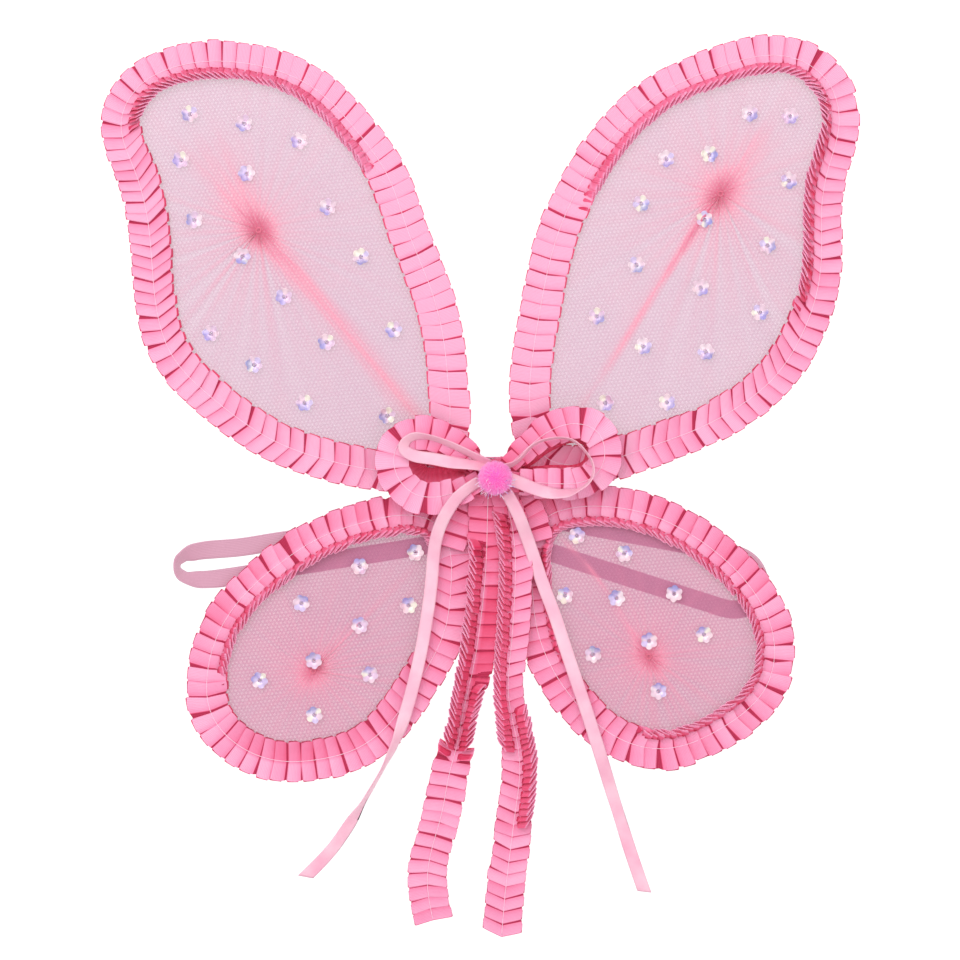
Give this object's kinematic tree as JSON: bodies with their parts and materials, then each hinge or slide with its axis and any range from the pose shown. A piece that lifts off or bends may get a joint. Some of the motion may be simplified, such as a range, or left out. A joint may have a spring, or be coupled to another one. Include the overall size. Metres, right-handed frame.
{
  "type": "costume fairy wings",
  "caption": "Sheer net butterfly wings on wire loops with pleated ribbon edging, flower sequins, a layered ribbon bow with tails, a pom-pom and elastic shoulder loops.",
  "frame": {"origin": "point on the back patch's flat rear face under the knot, midway between the wings' fold lines", "axes": "+Z out of the decorated front, +Y towards the wings' top, +X to the right seen from the front"},
  "size_m": [0.4161, 0.4964, 0.0414],
  "materials": {
    "felt": "matt felt",
    "wire": "plain steel wire",
    "ribbon": "pleated grosgrain",
    "satin": "satin sheen",
    "elastic": "satin-faced elastic",
    "net": "sheer hexagonal net",
    "thread": "sewing thread",
    "sequin": "iridescent film",
    "bead": "clear bead",
    "pom_yarn": "fluffy yarn",
    "tinsel": "iridescent foil"
  },
  "bodies": {
    "root": {"back_patch": "felt", "wire_twist": "wire", "centre_binding": "ribbon", "bow_knot": "ribbon", "satin_knot": "satin", "bow_loop_left": "ribbon", "bow_loop_right": "ribbon", "pleated_tail_left": "ribbon", "pleated_tail_right": "ribbon", "satin_loop_left": "satin", "satin_loop_right": "satin", "satin_tail_left": "satin", "satin_tail_right": "satin", "pom_pom": "pom_yarn", "pom_tinsel": "tinsel"},
    "upper_left_wing": {"wing_wire_upper_left": "wire", "net_back_upper_left": "net", "net_front_upper_left": "net", "pleated_trim_upper_left": "ribbon", "gather_tie_upper_left": "thread", "sequins_upper_left": "sequin", "sequin_beads_upper_left": "bead"},
    "upper_right_wing": {"wing_wire_upper_right": "wire", "net_back_upper_right": "net", "net_front_upper_right": "net", "pleated_trim_upper_right": "ribbon", "gather_tie_upper_right": "thread", "sequins_upper_right": "sequin", "sequin_beads_upper_right": "bead"},
    "lower_left_wing": {"wing_wire_lower_left": "wire", "net_back_lower_left": "net", "net_front_lower_left": "net", "pleated_trim_lower_left": "ribbon", "gather_tie_lower_left": "thread", "sequins_lower_left": "sequin", "sequin_beads_lower_left": "bead"},
    "lower_right_wing": {"wing_wire_lower_right": "wire", "net_back_lower_right": "net", "net_front_lower_right": "net", "pleated_trim_lower_right": "ribbon", "gather_tie_lower_right": "thread", "sequins_lower_right": "sequin", "sequin_beads_lower_right": "bead"},
    "left_strap": {"shoulder_strap_left": "elastic"},
    "right_strap": {"shoulder_strap_right": "elastic"}
  },
  "joints": [
    {"name": "upper_left_fold", "type": "hinge", "parent": "root", "child": "upper_left_wing", "pos_m": [-0.011, 0, 0.0012], "axis": [0, -1, 0], "range_deg": [0, 75]},
    {"name": "upper_right_fold", "type": "hinge", "parent": "root", "child": "upper_right_wing", "pos_m": [0.011, 0, 0.0012], "axis": [0, 1, 0], "range_deg": [0, 75]},
    {"name": "lower_left_fold", "type": "hinge", "parent": "root", "child": "lower_left_wing", "pos_m": [-0.011, 0, 0.0012], "axis": [0, -1, 0], "range_deg": [0, 75]},
    {"name": "lower_right_fold", "type": "hinge", "parent": "root", "child": "lower_right_wing", "pos_m": [0.011, 0, 0.0012], "axis": [0, 1, 0], "range_deg": [0, 75]},
    {"name": "left_strap_swing", "type": "hinge", "parent": "root", "child": "left_strap", "pos_m": [-0.011, 0, 0.0012], "axis": [0, -1, 0], "range_deg": [0, 75]},
    {"name": "right_strap_swing", "type": "hinge", "parent": "root", "child": "right_strap", "pos_m": [0.011, 0, 0.0012], "axis": [0, 1, 0], "range_deg": [0, 75]}
  ],
  "couplings": [
    {"joint": "left_strap_swing", "follows": "lower_left_fold", "ratio": 1},
    {"joint": "right_strap_swing", "follows": "lower_right_fold", "ratio": 1}
  ]
}
